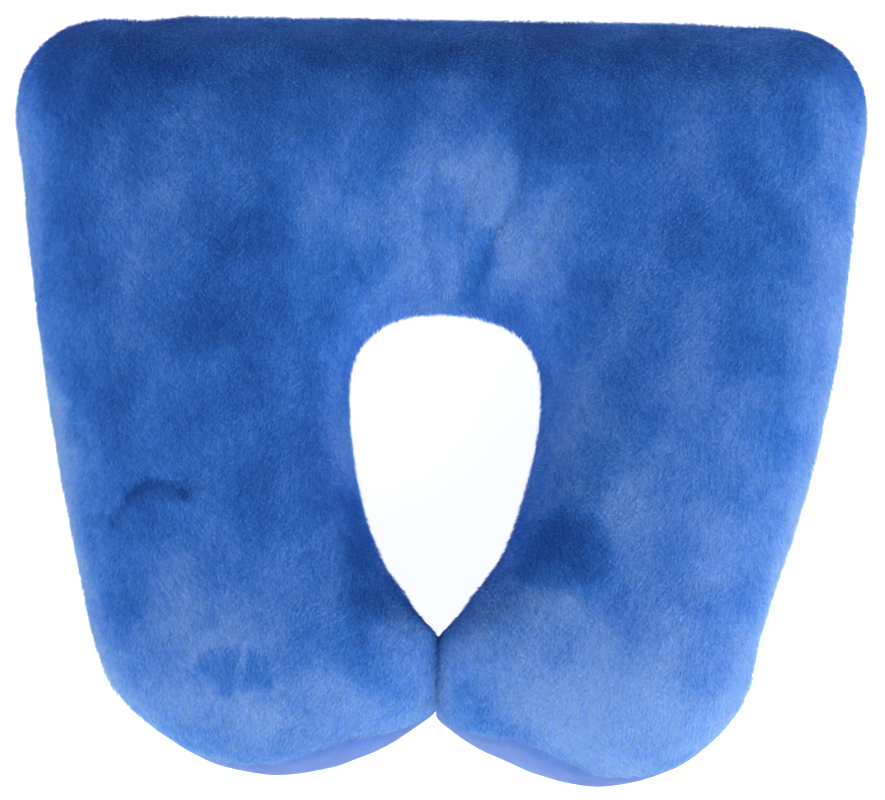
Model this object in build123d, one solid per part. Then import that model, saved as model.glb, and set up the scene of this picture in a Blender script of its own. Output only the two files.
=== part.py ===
"""U shaped neck pillow: a stuffed inner cushion in a zipped cover, lying flat on its base.

Millimetres. +Z is up, +Y is towards the back of the neck and -Y towards the two tips, +X is to the right.
The origin is under the middle of the whole object, on the surface that it lies on.
The cushion bends at two upright hinge lines, so each layer is made as a back and two arms.
"""
import math
import os

from build123d import *

os.makedirs("parts", exist_ok=True)

# stuffed cushion, outside of the cover
THICKNESS = 95.0
CUSHION_DEPTH = 327.0
TOP_ROUND = 29.0
BASE_ROUND = 27.0

# the zip slider's bail is the only thing that stands out behind the cushion
BAIL_PROUD = 3.4
BACK_Y = (CUSHION_DEPTH - BAIL_PROUD) / 2

# plan of the right half: back edge, curved flank, toe and inner side
CORNER = (177.5, BACK_Y)
FLANK_MIDDLE = (161.3, BACK_Y - 163.0)
TOE = (117.5, BACK_Y - 349.5)
INNER_TOE = (-29.0, BACK_Y - 291.0)
CORNER_RADIUS = 44.0
TOE_RADIUS = 66.0
INNER_TOE_RADIUS = 30.0
NECK_RADIUS = 39.0
NECK_Y = BACK_Y - 164.0
PAST_CENTRE = 20.0

# layers, from the outside in
COVER_T = 2.4
CASE_T = 0.8
LAYER_GAP = 0.3
CASE_INSET = COVER_T + LAYER_GAP
FILL_INSET = CASE_INSET + CASE_T + LAYER_GAP

# seam between the plush top and the jersey base: level, then rising towards the tips
SEAM_Z = 38.0
SEAM_TIP_Z = 68.0
SEAM_RISE_Y = -75.0
SEAM_GAP = 0.3

# hinge lines and the pressed contact between the two tips
HINGE_Y = NECK_Y
HINGE_GAP = 0.8
TIP_GAP = 0.8

# zip in the back seam, along X
ZIP_LENGTH = 184.0
WINDOW_HALF_LENGTH = 98.0
WINDOW_HALF_HEIGHT = 6.5
TAPE_HALF_LENGTH = 103.0
TAPE_WIDTH = 12.0
TAPE_T = 0.8
TAPE_Y = BACK_Y - COVER_T - 0.2
TAPE_SPLIT = 0.15
RECESS_DEPTH = 1.3
RECESS_MARGIN = 2.0
COIL_WIDTH = 2.6
COIL_T = 1.9
COIL_GAP = 0.1
STOP_LENGTH = 2.5
STOP_CLEARANCE = 0.3
STOP_ROUND = 0.5

# slider and pull
SLIDER_LENGTH = 10.0
SLIDER_PLATE_T = 1.2
SLIDER_PLATE_Y = BACK_Y - 0.4
SLIDER_FLANGE = 1.0
SLIDER_CLEARANCE = 0.3
SLIDER_CORNER = 1.8
FLANGE_SETBACK = 2.0
SLIDER_X = ZIP_LENGTH / 2 - SLIDER_LENGTH / 2 - 0.4
BAIL_WIDTH = 1.6
BAIL_BAR = 0.8
BAIL_POST = 1.0
BAIL_POST_X = 2.9
BAIL_ROUND = 0.7
PULL_T = 1.2
PULL_Y = BACK_Y + 1.7
PULL_FRAME_WIDTH = 6.0
PULL_LEG = 1.2
PULL_WINDOW = 6.0
PULL_LENGTH = 25.0
PULL_TAB_WIDTH = 8.0
PULL_HOLE_RADIUS = 1.6
PULL_HOLE_INSET = 3.2
PULL_TAB_ROUND = 2.5
PULL_NECK_OVERLAP = 2.0

# blank care label sewn into the back seam
LABEL_X = -118.0
LABEL_WIDTH = 20.0
LABEL_DROP = 29.0
LABEL_T = 0.5
LABEL_TAIL_T = 0.2
LABEL_TAIL = 2.0

FAR = 400.0


def box_between(low, high):
    """A box given by its lowest and highest corners."""
    size = [b - a for a, b in zip(low, high)]
    middle = [(a + b) / 2 for a, b in zip(low, high)]
    return Pos(*middle) * Box(*size)


def plan_of_right_half():
    """Outline of the right half, run on a little past the centre, where the two halves are cut."""
    past_y = NECK_Y + math.sqrt(NECK_RADIUS**2 - PAST_CENTRE**2)
    start, end = (-PAST_CENTRE, BACK_Y), (-PAST_CENTRE, past_y)
    side, crown = (NECK_RADIUS, NECK_Y), (0, NECK_Y + NECK_RADIUS)
    edges = [
        Line(start, CORNER),
        ThreePointArc(CORNER, FLANK_MIDDLE, TOE),
        Line(TOE, INNER_TOE),
        TangentArc(side, INNER_TOE, tangent=(0, -1)),
        ThreePointArc(side, crown, end),
        Line(end, start),
    ]
    plan = Sketch() + make_face(Curve() + edges)
    for corner, radius in ((CORNER, CORNER_RADIUS), (TOE, TOE_RADIUS), (INNER_TOE, INNER_TOE_RADIUS)):
        plan = fillet(plan.vertices().sort_by_distance(corner)[0], radius)
    return plan


def round_rim(solid, z, cut_x, radius):
    """Rounds the edges that lie at height z, apart from the one at the centre cut."""
    level = solid.edges().filter_by_position(Axis.Z, z - 0.01, z + 0.01)
    return fillet([edge for edge in level if abs(edge.center().X - cut_x) > 0.01], radius)


def right_half(inset):
    """Right half of the cushion, drawn in by inset on every side."""
    plan = plan_of_right_half()
    if inset:
        plan = offset(plan, -inset)
    top = THICKNESS - inset
    solid = Pos(0, 0, inset) * extrude(plan, top - inset)
    solid = round_rim(solid, top, inset - PAST_CENTRE, TOP_ROUND - inset)
    solid = round_rim(solid, inset, inset - PAST_CENTRE, BASE_ROUND - inset)
    if inset >= CASE_INSET:
        solid -= zip_recess(inset)
    return solid


def zip_recess(inset):
    """Shallow flat in the inner layers, where the zip tapes lie behind the cover."""
    grown = inset - CASE_INSET + RECESS_MARGIN
    floor_y = BACK_Y - inset - RECESS_DEPTH
    half_x = TAPE_HALF_LENGTH + grown
    half_z = TAPE_WIDTH + grown
    return box_between((-half_x, floor_y, SEAM_Z - half_z), (half_x, FAR, SEAM_Z + half_z))


def back_of(half):
    """The back: both halves, behind the hinge lines."""
    keep = box_between((0, HINGE_Y + HINGE_GAP / 2, -FAR), (FAR, FAR, FAR))
    right = half & keep
    return right + mirror(right, about=Plane.YZ)


def arm_of(half):
    """The right arm: in front of its hinge line, pressed flat where the tips meet."""
    return half & box_between((TIP_GAP / 2, -FAR, -FAR), (FAR, HINGE_Y - HINGE_GAP / 2, FAR))


def under_seam(lift):
    """Everything below the seam, with the seam raised by lift."""
    tip_y = BACK_Y - CUSHION_DEPTH
    slope = (SEAM_TIP_Z - SEAM_Z) / (SEAM_RISE_Y - tip_y)
    front_z = SEAM_Z + slope * (SEAM_RISE_Y + FAR)
    profile = [
        (FAR, -FAR),
        (FAR, SEAM_Z + lift),
        (SEAM_RISE_Y, SEAM_Z + lift),
        (-FAR, front_z + lift),
        (-FAR, -FAR),
    ]
    face = Plane.YZ * make_face(Polyline(*profile, close=True))
    return extrude(face, FAR, both=True)


def zip_window():
    """Opening in the cover's back seam, which shows the zip."""
    return box_between(
        (-WINDOW_HALF_LENGTH, BACK_Y - 2 * COVER_T, SEAM_Z - WINDOW_HALF_HEIGHT),
        (WINDOW_HALF_LENGTH, FAR, SEAM_Z + WINDOW_HALF_HEIGHT),
    )


def cushion_layers():
    """Every layer as a right half: (plush top, jersey base, inner case, fill)."""
    skin = right_half(0) - right_half(COVER_T)
    plush = skin - under_seam(SEAM_GAP)
    base = skin & under_seam(0)
    case = right_half(CASE_INSET) - right_half(CASE_INSET + CASE_T)
    return plush, base, case, right_half(FILL_INSET)


def zip_tape(side):
    """One tape of the zip, behind the cover; side is 1 above the seam and -1 below."""
    near, far = SEAM_Z + side * TAPE_SPLIT, SEAM_Z + side * TAPE_WIDTH
    return box_between(
        (-TAPE_HALF_LENGTH, TAPE_Y - TAPE_T, min(near, far)),
        (TAPE_HALF_LENGTH, TAPE_Y, max(near, far)),
    )


def zip_coil(side):
    """Outer shape of one coil, sewn to the edge of its tape."""
    near, far = SEAM_Z + side * TAPE_SPLIT, SEAM_Z + side * (TAPE_SPLIT + COIL_WIDTH)
    bar = box_between(
        (-ZIP_LENGTH / 2, TAPE_Y + COIL_GAP, min(near, far)),
        (ZIP_LENGTH / 2, TAPE_Y + COIL_GAP + COIL_T, max(near, far)),
    )
    along = bar.edges().filter_by(Axis.X).group_by(Axis.Y)[-1]
    return fillet(along, COIL_WIDTH / 4)


def zip_stop(x, side_low, side_high):
    """A stop past the end of the coils, over the tape edges from side_low to side_high."""
    y = TAPE_Y + COIL_GAP
    half = STOP_LENGTH / 2
    block = box_between((x - half, y, SEAM_Z + side_low), (x + half, y + COIL_T, SEAM_Z + side_high))
    return fillet(block.edges().filter_by(Axis.X).group_by(Axis.Y)[-1], STOP_ROUND)


def zip_stops():
    """(the two top stops, the one bottom stop)"""
    x = ZIP_LENGTH / 2 + STOP_CLEARANCE + STOP_LENGTH / 2
    width = TAPE_SPLIT + COIL_WIDTH
    tops = Compound([zip_stop(x, TAPE_SPLIT, width), zip_stop(x, -width, -TAPE_SPLIT)])
    return tops, zip_stop(-x, -width, width)


def zip_slider():
    """Saddle over the closed coils, with a bail on its back for the pull."""
    inner = TAPE_SPLIT + COIL_WIDTH + SLIDER_CLEARANCE
    outer = inner + SLIDER_FLANGE
    half = SLIDER_LENGTH / 2
    top_y = SLIDER_PLATE_Y + SLIDER_PLATE_T
    plate = box_between(
        (-half, SLIDER_PLATE_Y, SEAM_Z - outer), (half, top_y, SEAM_Z + outer)
    )
    plate = fillet(plate.edges().filter_by(Axis.Y), SLIDER_CORNER)
    body = plate
    for side in (-1, 1):
        near, far = SEAM_Z + side * inner, SEAM_Z + side * outer
        body += box_between(
            (FLANGE_SETBACK - half, TAPE_Y + SLIDER_CLEARANCE, min(near, far)),
            (half - FLANGE_SETBACK, top_y, max(near, far)),
        )
    bridge_y = BACK_Y + BAIL_PROUD
    reach = BAIL_POST_X + BAIL_POST / 2
    bail = box_between(
        (-reach, top_y - 0.1, SEAM_Z - BAIL_WIDTH / 2), (reach, bridge_y, SEAM_Z + BAIL_WIDTH / 2)
    )
    bail = fillet(bail.edges().filter_by(Axis.Z).group_by(Axis.Y)[-1], BAIL_ROUND)
    clear = reach - BAIL_POST
    bail -= box_between((-clear, top_y, -FAR), (clear, bridge_y - BAIL_BAR, FAR))
    return Pos(SLIDER_X, 0, 0) * (body + bail)


def zip_pull():
    """Flat pull whose end bar turns under the slider's bail; it lies along the closed zip."""
    frame_end = -(PULL_WINDOW + PULL_T / 2)
    tab = Pos((frame_end - PULL_LENGTH) / 2, 0) * RectangleRounded(
        PULL_LENGTH + frame_end, PULL_TAB_WIDTH, PULL_TAB_ROUND
    )
    neck = Pos((frame_end - PULL_NECK_OVERLAP) / 2, 0) * Rectangle(
        PULL_NECK_OVERLAP - frame_end, PULL_FRAME_WIDTH
    )
    window = Pos(frame_end / 2, 0) * Rectangle(-frame_end, PULL_FRAME_WIDTH - 2 * PULL_LEG)
    hole = Pos(PULL_HOLE_INSET - PULL_LENGTH, 0) * Circle(PULL_HOLE_RADIUS)
    flat = Plane.XZ * (tab + neck - window - hole)
    plate = extrude(flat, PULL_T / 2, both=True)
    bar = Cylinder(PULL_T / 2, PULL_FRAME_WIDTH)
    return Pos(SLIDER_X, PULL_Y, SEAM_Z) * (plate + bar)


def care_label():
    """Blank label that hangs from the back seam."""
    x0, x1 = LABEL_X - LABEL_WIDTH / 2, LABEL_X + LABEL_WIDTH / 2
    front_y = BACK_Y + LAYER_GAP
    tail_z = SEAM_Z + (SEAM_GAP - LABEL_TAIL_T) / 2
    flap = box_between(
        (x0, front_y, SEAM_Z - LABEL_DROP), (x1, front_y + LABEL_T, tail_z + LABEL_TAIL_T)
    )
    tail = box_between(
        (x0, BACK_Y - LABEL_TAIL, tail_z), (x1, front_y + LABEL_T, tail_z + LABEL_TAIL_T)
    )
    return flap + tail


def save(shape, node):
    """Writes one sub-part."""
    export_step(shape, f"parts/{node}.step")


def main():
    plush, base, case, fill = cushion_layers()
    for name, half in (("plush_panel", plush), ("base_panel", base), ("inner_case", case), ("fill", fill)):
        back = back_of(half)
        if name in ("plush_panel", "base_panel"):
            back -= zip_window()
        arm = arm_of(half)
        save(back, f"{name}_back")
        save(arm, f"{name}_right_arm")
        save(mirror(arm, about=Plane.YZ), f"{name}_left_arm")
    save(zip_tape(1), "zip_tape_upper")
    save(zip_tape(-1), "zip_tape_lower")
    save(zip_coil(1), "zip_coil_upper")
    save(zip_coil(-1), "zip_coil_lower")
    tops, bottom = zip_stops()
    save(tops, "zip_top_stops")
    save(bottom, "zip_bottom_stop")
    save(zip_slider(), "zip_slider")
    save(zip_pull(), "zip_pull")
    save(care_label(), "care_label")


main()
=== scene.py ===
"""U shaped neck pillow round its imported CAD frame: cover, zip, blank label, inner case and fill."""
import math
from contextlib import contextmanager

import bmesh
import bpy
import numpy as np
from mathutils import Matrix, Vector, noise
from mathutils.bvhtree import BVHTree
from mathutils.geometry import delaunay_2d_cdt


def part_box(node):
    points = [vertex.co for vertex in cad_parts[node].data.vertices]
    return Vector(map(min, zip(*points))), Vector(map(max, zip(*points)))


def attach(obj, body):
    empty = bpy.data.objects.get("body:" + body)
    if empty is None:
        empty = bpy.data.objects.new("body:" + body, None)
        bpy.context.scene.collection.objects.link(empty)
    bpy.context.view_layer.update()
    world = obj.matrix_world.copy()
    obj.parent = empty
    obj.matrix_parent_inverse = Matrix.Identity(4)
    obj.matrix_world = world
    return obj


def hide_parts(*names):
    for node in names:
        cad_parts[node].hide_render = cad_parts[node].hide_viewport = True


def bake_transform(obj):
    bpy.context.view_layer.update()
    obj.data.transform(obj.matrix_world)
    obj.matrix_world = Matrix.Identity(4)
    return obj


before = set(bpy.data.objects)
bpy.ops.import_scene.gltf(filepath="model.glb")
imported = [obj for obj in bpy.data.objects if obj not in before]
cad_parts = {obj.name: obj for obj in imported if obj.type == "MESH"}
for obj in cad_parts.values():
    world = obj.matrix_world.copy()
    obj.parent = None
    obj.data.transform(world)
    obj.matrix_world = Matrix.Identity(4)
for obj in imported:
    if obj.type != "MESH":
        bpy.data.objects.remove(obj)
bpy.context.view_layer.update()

MM = 0.001
LEFT, RIGHT = -1, 1


def box_mm(node):
    """A CAD node's lowest and highest corners in millimetres."""
    low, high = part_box(node)
    return np.array(low) / MM, np.array(high) / MM


# ---------------------------------------------------------------- sizes, in millimetres, from the frame
BACK_LOW, BACK_HIGH = box_mm("plush_panel_back")
COIL_LOW, COIL_HIGH = box_mm("zip_coil_upper")
TAPE_LOW, TAPE_HIGH = box_mm("zip_tape_upper")
LABEL_LOW, LABEL_HIGH = box_mm("care_label")

BACK_Y = BACK_HIGH[1]
SEAM_Z = box_mm("base_panel_back")[1][2]

# plan of the right half: corner points and the radii that round them
CORNER = (177.5, BACK_Y)
FLANK_MIDDLE = (161.3, BACK_Y - 163.0)
TOE = (117.5, BACK_Y - 349.5)
INNER_TOE = (-29.0, BACK_Y - 291.0)
CORNER_RADIUS = 44.0
TOE_RADIUS = 66.0
INNER_TOE_RADIUS = 30.0
NECK_RADIUS = 39.0
HALF_HINGE_GAP = 0.4
NECK_Y = BACK_LOW[1] - HALF_HINGE_GAP

# section: the widest line stands at EQUATOR_Z, the top rounds over more softly than the base
EQUATOR_Z = 45.0
START_OUTSET = 1.0
START_TOP, START_BASE = 44.0, 41.0
TOP_ROUND, TOP_POWER = 56.0, 2.1
BASE_ROUND, BASE_POWER = 42.0, 2.5
RING_INSET = 27.0
RINGS = 9
OUTLINE_STEP = 3.0
LATTICE = 9.0

# the arms are held apart while the cloth is worked, then closed again
OPEN_GAP = 12.0
OPEN_FROM_Y, OPEN_TO_Y = -10.0, -95.0
CLOSING = 1.225
# half of the gap between the tips, while the mesh is worked and at the end
CONTACT_HALF_GAP, TOUCHING_HALF_GAP = 0.15, 0.03

# cloth pass: voxel size, frames, pressure and how far the cloth may go from its start
VOXEL = 5.5
SIM_FRAMES = 20
SIM_PRESSURE = 4.0
SIM_CAP = 7.0

# thickness of each layer, and how deep the inner ones lie
COVER_T = 2.2
JERSEY_T = 1.2
CASE_DEPTH, CASE_T = 6.8, 0.7
FILL_DEPTH = 7.8

# the opening for the zip in the back seam
ZIP_HALF_X = 98.0
ZIP_HALF_Z = 6.5


def smooth(a, b, x):
    """0 at a, 1 at b, with level ends."""
    t = np.clip((np.asarray(x, float) - a) / (b - a), 0, 1)
    return t * t * (3 - 2 * t)


def bell(x, width):
    return np.exp(-((x / width) ** 2))


def noise_at(points, scale, seed=0.0, octaves=1):
    """Smooth noise between about -1 and 1 at each point; scale is the size of its lumps."""
    shift = Vector((seed * 17.3, seed * 5.1, seed * 11.7))
    total = np.zeros(len(points))
    size, weight = scale, 1.0
    for _ in range(octaves):
        total += weight * np.array([noise.noise(Vector(p) / size + shift) for p in points])
        size, weight = size / 2, weight / 2
    return total


# ---------------------------------------------------------------- outline of the cushion
def circle_through(a, b, c):
    """Centre and radius of the circle through three points."""
    (ax, ay), (bx, by), (cx, cy) = a, b, c
    d = 2 * (ax * (by - cy) + bx * (cy - ay) + cx * (ay - by))
    ux = ((ax**2 + ay**2) * (by - cy) + (bx**2 + by**2) * (cy - ay) + (cx**2 + cy**2) * (ay - by)) / d
    uy = ((ax**2 + ay**2) * (cx - bx) + (bx**2 + by**2) * (ax - cx) + (cx**2 + cy**2) * (bx - ax)) / d
    centre = np.array((ux, uy))
    return centre, np.linalg.norm(centre - a)


def arc_between(centre, start, end):
    """Points of the shorter arc round centre, from start to end."""
    a, b = np.array(start) - centre, np.array(end) - centre
    first, turn = math.atan2(a[1], a[0]), math.atan2(a[0] * b[1] - a[1] * b[0], a @ b)
    angles = first + np.linspace(0, turn, 60)
    return centre + np.linalg.norm(a) * np.stack([np.cos(angles), np.sin(angles)], 1)


def right_normals(line):
    """Unit normals on the right of the way a line runs, which is inwards here."""
    along = np.gradient(line, axis=0)
    along /= np.linalg.norm(along, axis=1)[:, None]
    return np.stack([along[:, 1], -along[:, 0]], 1)


def crossing(p, q):
    """The point where two polylines cross."""
    a, r = p[:-1, None], (p[1:] - p[:-1])[:, None]
    c, s = q[None, :-1], (q[1:] - q[:-1])[None]
    det = r[..., 0] * s[..., 1] - r[..., 1] * s[..., 0]
    gap = c - a
    t = (gap[..., 0] * s[..., 1] - gap[..., 1] * s[..., 0]) / det
    u = (gap[..., 0] * r[..., 1] - gap[..., 1] * r[..., 0]) / det
    i, j = np.argwhere((t >= 0) & (t <= 1) & (u >= 0) & (u <= 1))[0]
    return p[i] + t[i, j] * (p[i + 1] - p[i])


def rounded(before, after, radius):
    """Two curves that meet at a corner, joined by an arc of this radius instead."""
    centre = crossing(before + radius * right_normals(before), after + radius * right_normals(after))
    i = np.linalg.norm(before - centre, axis=1).argmin()
    j = np.linalg.norm(after - centre, axis=1).argmin()
    return np.vstack([before[:i], arc_between(centre, before[i], after[j]), after[j + 1 :]])


def line_points(a, b):
    return np.linspace(a, b, 240)


def evenly(line, step):
    """The same line, with its points step apart."""
    length = np.r_[0, np.cumsum(np.linalg.norm(np.diff(line, axis=0), axis=1))]
    at = np.linspace(0, length[-1], max(2, round(length[-1] / step)) + 1)
    return np.stack([np.interp(at, length, line[:, k]) for k in (0, 1)], 1)


def half_outline():
    """Right half, clockwise from the middle of the back to the crown of the neck hole."""
    flank_centre, _ = circle_through(CORNER, FLANK_MIDDLE, TOE)
    flank = evenly(arc_between(flank_centre, CORNER, TOE), 1.0)
    dx, dy = NECK_RADIUS - INNER_TOE[0], NECK_Y - INNER_TOE[1]
    inner_radius = (dx**2 + dy**2) / (2 * dx)
    inner_centre = np.array((NECK_RADIUS - inner_radius, NECK_Y))
    inner = evenly(arc_between(inner_centre, INNER_TOE, (NECK_RADIUS, NECK_Y)), 1.0)
    line = rounded(line_points((0.0, BACK_Y), CORNER), flank, CORNER_RADIUS)
    line = rounded(line, line_points(TOE, INNER_TOE), TOE_RADIUS)
    line = rounded(line, inner, INNER_TOE_RADIUS)
    arch = arc_between(np.array((0.0, NECK_Y)), (NECK_RADIUS, NECK_Y), (0.0, NECK_Y + NECK_RADIUS))
    return evenly(np.vstack([line, arch[1:]]), OUTLINE_STEP)


def opening(y):
    """How far an arm is held to its own side at y while the cloth is worked."""
    return OPEN_GAP * smooth(OPEN_FROM_Y, OPEN_TO_Y, y)


def whole_outline():
    """Closed clockwise loop of the cushion, with the arms held apart."""
    right = half_outline()
    right[:, 0] += opening(right[:, 1])
    left = right[-2:0:-1] * (-1, 1)
    return np.vstack([right, left])


# ---------------------------------------------------------------- meshes
def add_mesh(name, points, faces):
    """A new object from points in millimetres."""
    mesh = bpy.data.meshes.new(name)
    mesh.from_pydata((np.asarray(points) * MM).tolist(), [], faces)
    obj = bpy.data.objects.new(name, mesh)
    bpy.context.scene.collection.objects.link(obj)
    return obj


@contextmanager
def edited(mesh):
    """The mesh opened for editing, and written back afterwards."""
    work = bmesh.new()
    work.from_mesh(mesh)
    yield work
    work.to_mesh(mesh)
    work.free()


def smooth_shaded(obj):
    obj.data.polygons.foreach_set("use_smooth", [True] * len(obj.data.polygons))


def points_of(mesh):
    co = np.empty(3 * len(mesh.vertices), np.float32)
    mesh.vertices.foreach_get("co", co)
    return co.reshape(-1, 3).astype(float) / MM


def set_points(mesh, points):
    mesh.vertices.foreach_set("co", (points * MM).astype(np.float32).ravel())
    mesh.update()


def normals_of(mesh):
    n = np.empty(3 * len(mesh.vertices), np.float32)
    mesh.vertex_normals.foreach_get("vector", n)
    return n.reshape(-1, 3).astype(float)


def applied(obj, kind, **settings):
    """Adds one modifier, applies it and returns the object."""
    modifier = obj.modifiers.new(kind.lower(), kind)
    for key, value in settings.items():
        setattr(modifier, key, value)
    graph = bpy.context.evaluated_depsgraph_get()
    mesh = bpy.data.meshes.new_from_object(obj.evaluated_get(graph))
    obj.modifiers.remove(modifier)
    old, obj.data = obj.data, mesh
    bpy.data.meshes.remove(old)
    return obj


def profile(share, power):
    """Height share at a share of the rounding's depth."""
    return (1 - (1 - np.clip(share, 0, 1)) ** power) ** (1 / power)


def cap_points(ring, outline, depth_from):
    """Triangles that fill a ring, with a lattice of points inside it."""
    low, high = ring.min(0), ring.max(0)
    xs, ys = np.arange(low[0], high[0], LATTICE), np.arange(low[1], high[1], LATTICE)
    grid = np.array([(x + (LATTICE / 2 if k % 2 else 0), y) for k, y in enumerate(ys) for x in xs])
    grid = grid[[depth_inside(p, outline) > depth_from + LATTICE / 2 for p in grid]]
    n = len(ring)
    edges = [(i, (i + 1) % n) for i in range(n)]
    points = [Vector(p) for p in np.vstack([ring, grid])]
    found = delaunay_2d_cdt(points, edges, [], 1, 1e-4)
    return np.array([tuple(p) for p in found[0]]), found[2]


def depth_inside(p, outline):
    """Distance from a point to the outline, negative outside it."""
    a, b = outline, np.roll(outline, -1, 0)
    along = b - a
    t = np.clip(((p - a) * along).sum(1) / (along**2).sum(1), 0, 1)
    near = np.linalg.norm(a + t[:, None] * along - p, axis=1).min()
    crosses = (a[:, 1] > p[1]) != (b[:, 1] > p[1])
    at = a[:, 0] + (p[1] - a[:, 1]) / np.where(along[:, 1] == 0, 1e-9, along[:, 1]) * along[:, 0]
    inside = (crosses & (p[0] < at)).sum() % 2
    return near if inside else -near


def blank_cushion():
    """Closed starting shape of the whole cushion, a little small, with its arms held apart."""
    outline = whole_outline()
    closed = np.vstack([outline[-1:], outline, outline[:1]])
    inwards = right_normals(closed)[1:-1]
    outline = outline - START_OUTSET * inwards
    count = len(outline)
    points, faces = [np.c_[outline, np.full(count, EQUATOR_Z)]], []
    for up, room, power in ((1, TOP_ROUND, TOP_POWER), (-1, BASE_ROUND, BASE_POWER)):
        height = START_TOP if up > 0 else START_BASE
        last = math.acos((1 - RING_INSET / room) ** (power / 2))
        previous = 0
        for k in range(1, RINGS + 1):
            share = 1 - math.cos(last * k / RINGS) ** (2 / power)
            ring = outline + room * share * inwards
            z = EQUATOR_Z + up * height * profile(share, power)
            start = sum(len(p) for p in points)
            points.append(np.c_[ring, np.full(count, z)])
            for i in range(count):
                j = (i + 1) % count
                quad = (previous + i, previous + j, start + j, start + i)
                faces.append(quad[::-1] if up > 0 else quad)
            previous = start
        cap, triangles = cap_points(ring, outline, RING_INSET)
        depth = np.array([depth_inside(p, outline) for p in cap])
        start = sum(len(p) for p in points)
        share = np.maximum(depth, RING_INSET) / room
        points.append(np.c_[cap, EQUATOR_Z + up * height * profile(share, power)])
        faces += [tuple(start + i for i in (t if up > 0 else t[::-1])) for t in triangles]
    cushion = add_mesh("cushion", np.vstack(points), faces)
    with edited(cushion.data) as work:
        bmesh.ops.remove_doubles(work, verts=work.verts, dist=0.05 * MM)
        bmesh.ops.recalc_face_normals(work, faces=work.faces)
    return cushion


def inflate(cushion):
    """Cloth pass: the case swells under its fill's pressure, held to within SIM_CAP of its start."""
    start = points_of(cushion.data)
    cloth = cushion.modifiers.new("cloth", "CLOTH")
    cloth.settings.quality = 5
    cloth.settings.mass = 0.3
    cloth.settings.tension_stiffness = 15
    cloth.settings.compression_stiffness = 15
    cloth.settings.shear_stiffness = 5
    cloth.settings.bending_stiffness = 0.5
    cloth.settings.use_pressure = True
    cloth.settings.uniform_pressure_force = SIM_PRESSURE
    cloth.settings.effector_weights.gravity = 0
    cloth.point_cache.frame_start, cloth.point_cache.frame_end = 1, SIM_FRAMES
    scene = bpy.context.scene
    for number in range(1, SIM_FRAMES + 1):
        scene.frame_set(number)
    graph = bpy.context.evaluated_depsgraph_get()
    swollen = cushion.evaluated_get(graph).to_mesh()
    moved = points_of(swollen) - start
    cushion.evaluated_get(graph).to_mesh_clear()
    cushion.modifiers.remove(cloth)
    scene.frame_set(1)
    far = np.linalg.norm(moved, axis=1)
    kept = SIM_CAP * np.tanh(far / SIM_CAP) / np.maximum(far, 1e-6)
    set_points(cushion.data, start + moved * kept[:, None])


def closed_arms(points):
    """The arms let back to the middle, where their tips press flat on each other."""
    side = np.sign(points[:, 0])
    across = side * points[:, 0] - CLOSING * opening(points[:, 1])
    soft = 1.3
    pressed = CONTACT_HALF_GAP + soft * np.logaddexp(0, (across - CONTACT_HALF_GAP) / soft)
    in_arm = smooth(-30, -60, points[:, 1])
    across = across + in_arm * (pressed - across)
    return np.c_[side * across, points[:, 1:]]


def settled(points):
    """The underside flattened where it rests, and the back seam held straight round the zip."""
    soft = 0.9
    x, y, z = points.T
    z = soft * np.logaddexp(0, (z + SEAT_SHIFT) / soft)
    held = (1 - smooth(104, 124, abs(x))) * (1 - smooth(13, 30, abs(z - SEAM_Z))) * smooth(90, 130, y)
    y = y + held * (BACK_Y - 0.2 - y)
    return np.c_[x, y, z]


def seam_height(x, y):
    """The seam runs level round the cushion and climbs over the front of each tip."""
    over_tip = (0.2 + 0.8 * smooth(4, 36, abs(x))) * smooth(96, 36, abs(x))
    return SEAM_Z + TIP_SEAM_RISE * smooth(-95, -140, y) * over_tip


def crease_depth(points):
    """Short curved crease on the left arm, deep on its line and raised on its outer side."""
    a, b = CREASE[:-1], CREASE[1:]
    along = b - a
    p = points[:, None, :2]
    t = np.clip(((p - a) * along).sum(2) / (along**2).sum(1), 0, 1)
    gap = p - (a + t[..., None] * along)
    far = np.linalg.norm(gap, axis=2)
    nearest = far.argmin(1)
    rows = np.arange(len(points))
    outer_side = gap[rows, nearest, 1] <= 0
    far = far[rows, nearest]
    return -1.5 * bell(far, 3.0) + 0.9 * bell(far - 6.0, 4.0) * outer_side


def pucker_depth(points):
    """Radial puckers where the top is drawn in round the neck hole."""
    x, y, z = points.T
    r = np.hypot(x, y - NECK_Y)
    angle = np.degrees(np.arctan2(y - NECK_Y, x))
    depth = np.zeros(len(points))
    for at, inner, outer, deep, width in PUCKERS:
        wander = 2.2 * np.sin(r / 9.0 + at)
        line = bell(angle - at - wander, width * 45.0 / np.maximum(r, 30))
        depth -= deep * line * smooth(inner - 8, inner, r) * (1 - smooth(outer - 22, outer, r))
    return depth * smooth(40, 62, z)


def surface_depth(points):
    """All the soft unevenness of the stuffed cover, outwards positive."""
    lumps = 1.1 * noise_at(points, 62, 1) + 0.45 * noise_at(points, 24, 2) + 0.2 * noise_at(points, 9, 3)
    flank = (1 - smooth(6, 26, points[:, 2])) * smooth(2, 10, points[:, 2])
    folds = 0.5 * flank * noise_at(points * (1, 1, 0.35), 12, 4)
    top = smooth(50, 70, points[:, 2])
    x, y, z = points.T
    zip_area = (1 - smooth(104, 124, abs(x))) * smooth(120, 150, y) * (1 - smooth(58, 75, z))
    resting = 1 - smooth(0.5, 6, z)
    calm = (1 - zip_area) * (1 - resting)
    return calm * (lumps + folds) + top * crease_depth(points) + pucker_depth(points)


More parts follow.
